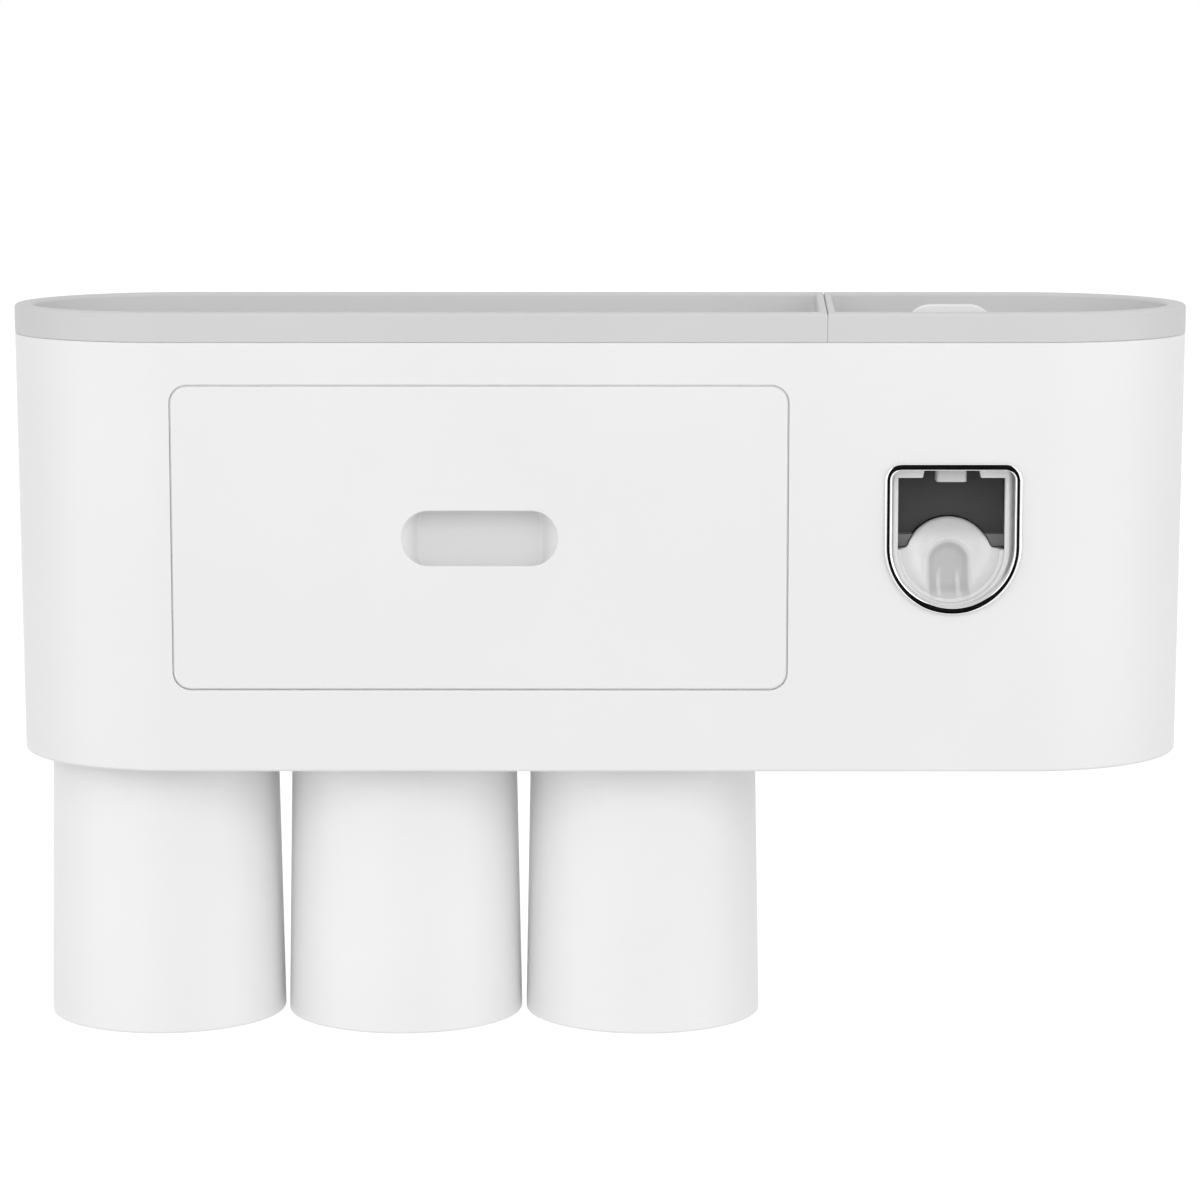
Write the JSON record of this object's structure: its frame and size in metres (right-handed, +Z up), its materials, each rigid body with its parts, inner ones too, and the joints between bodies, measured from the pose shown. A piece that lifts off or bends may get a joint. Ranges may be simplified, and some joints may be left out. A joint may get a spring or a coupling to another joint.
{
  "type": "wall-mounted toothbrush holder",
  "caption": "Wall-mounted bathroom organiser with a stadium-shaped body, top trays, a front drawer, a push-operated toothpaste dispenser and cups that hang mouth down.",
  "frame": {"origin": "middle of the adhesive sheet's wall side; the wall is the plane Y = 0", "axes": "+X to the right as seen from the room, +Y into the wall, +Z up; the top of the rim is at Z = 40 mm"},
  "size_m": [0.36, 0.1068, 0.2233],
  "materials": {
    "white_plastic": "smooth satin moulding",
    "grey_plastic": "matt moulding",
    "light_grey_plastic": "matt moulding",
    "dark_plastic": "matt moulding",
    "chrome": "bright plating",
    "steel": "plain zinc plate",
    "magnet": "nickel plate",
    "silicone": "matt, slightly clear",
    "foam_sheet": "foam tape"
  },
  "bodies": {
    "wall_mount": {"wall_bracket": "white_plastic", "adhesive_sheet": "foam_sheet"},
    "housing": {"outer_shell": "white_plastic", "base_plate": "white_plastic", "base_screw_1": "steel", "base_screw_2": "steel", "base_screw_3": "steel", "base_screw_4": "steel", "drawer_runner_left": "white_plastic", "drawer_runner_right": "white_plastic", "bay_divider": "white_plastic", "bay_tray": "grey_plastic", "bezel": "chrome", "housing_magnet_1": "magnet", "housing_magnet_2": "magnet", "housing_magnet_3": "magnet", "magnet_cap_1": "white_plastic", "magnet_cap_2": "white_plastic", "magnet_cap_3": "white_plastic"},
    "storage_tray": {"storage_tray": "grey_plastic"},
    "drawer": {"drawer_front": "white_plastic", "drawer_box": "white_plastic"},
    "cartridge": {"dispenser_case": "white_plastic", "case_back": "white_plastic", "case_screw_1": "steel", "case_screw_2": "steel", "case_screw_3": "steel", "case_screw_4": "steel", "pump_deck": "white_plastic", "pump_body": "dark_plastic", "valve_block": "white_plastic", "outlet_pipe": "silicone", "outlet_nozzle": "light_grey_plastic", "nozzle_valve": "silicone", "tube_socket": "silicone", "socket_ring": "white_plastic"},
    "pusher": {"push_bowl": "white_plastic", "plunger": "light_grey_plastic", "plunger_seal": "silicone", "return_spring": "steel"},
    "cup_1": {"cup_1": "white_plastic", "cup_disc_1": "steel", "cup_cover_1": "white_plastic"},
    "cup_2": {"cup_2": "white_plastic", "cup_disc_2": "steel", "cup_cover_2": "white_plastic"},
    "cup_3": {"cup_3": "white_plastic", "cup_disc_3": "steel", "cup_cover_3": "white_plastic"}
  },
  "joints": [
    {"name": "holder_lift_off", "type": "slide", "parent": "wall_mount", "child": "housing", "axis": [0, 0, 1], "range_m": [0, 0.0063]},
    {"name": "drawer_slide", "type": "slide", "parent": "housing", "child": "drawer", "axis": [0, -1, 0], "range_m": [0, 0.07]},
    {"name": "storage_tray_lift", "type": "slide", "parent": "housing", "child": "storage_tray", "axis": [0, 0, 1], "range_m": [0, 0.03]},
    {"name": "cartridge_lift", "type": "slide", "parent": "housing", "child": "cartridge", "axis": [0, 0, 1], "range_m": [0, 0.095]},
    {"name": "push_stroke", "type": "slide", "parent": "cartridge", "child": "pusher", "axis": [0, 1, 0], "range_m": [0, 0.012], "stiffness_N_per_m": 120, "springref_m": -0.008, "deforming": ["return_spring"]},
    {"name": "cup_1_pull", "type": "slide", "parent": "housing", "child": "cup_1", "axis": [0, 0, -1], "range_m": [0, 0.1]},
    {"name": "cup_2_pull", "type": "slide", "parent": "housing", "child": "cup_2", "axis": [0, 0, -1], "range_m": [0, 0.1]},
    {"name": "cup_3_pull", "type": "slide", "parent": "housing", "child": "cup_3", "axis": [0, 0, -1], "range_m": [0, 0.1]}
  ]
}
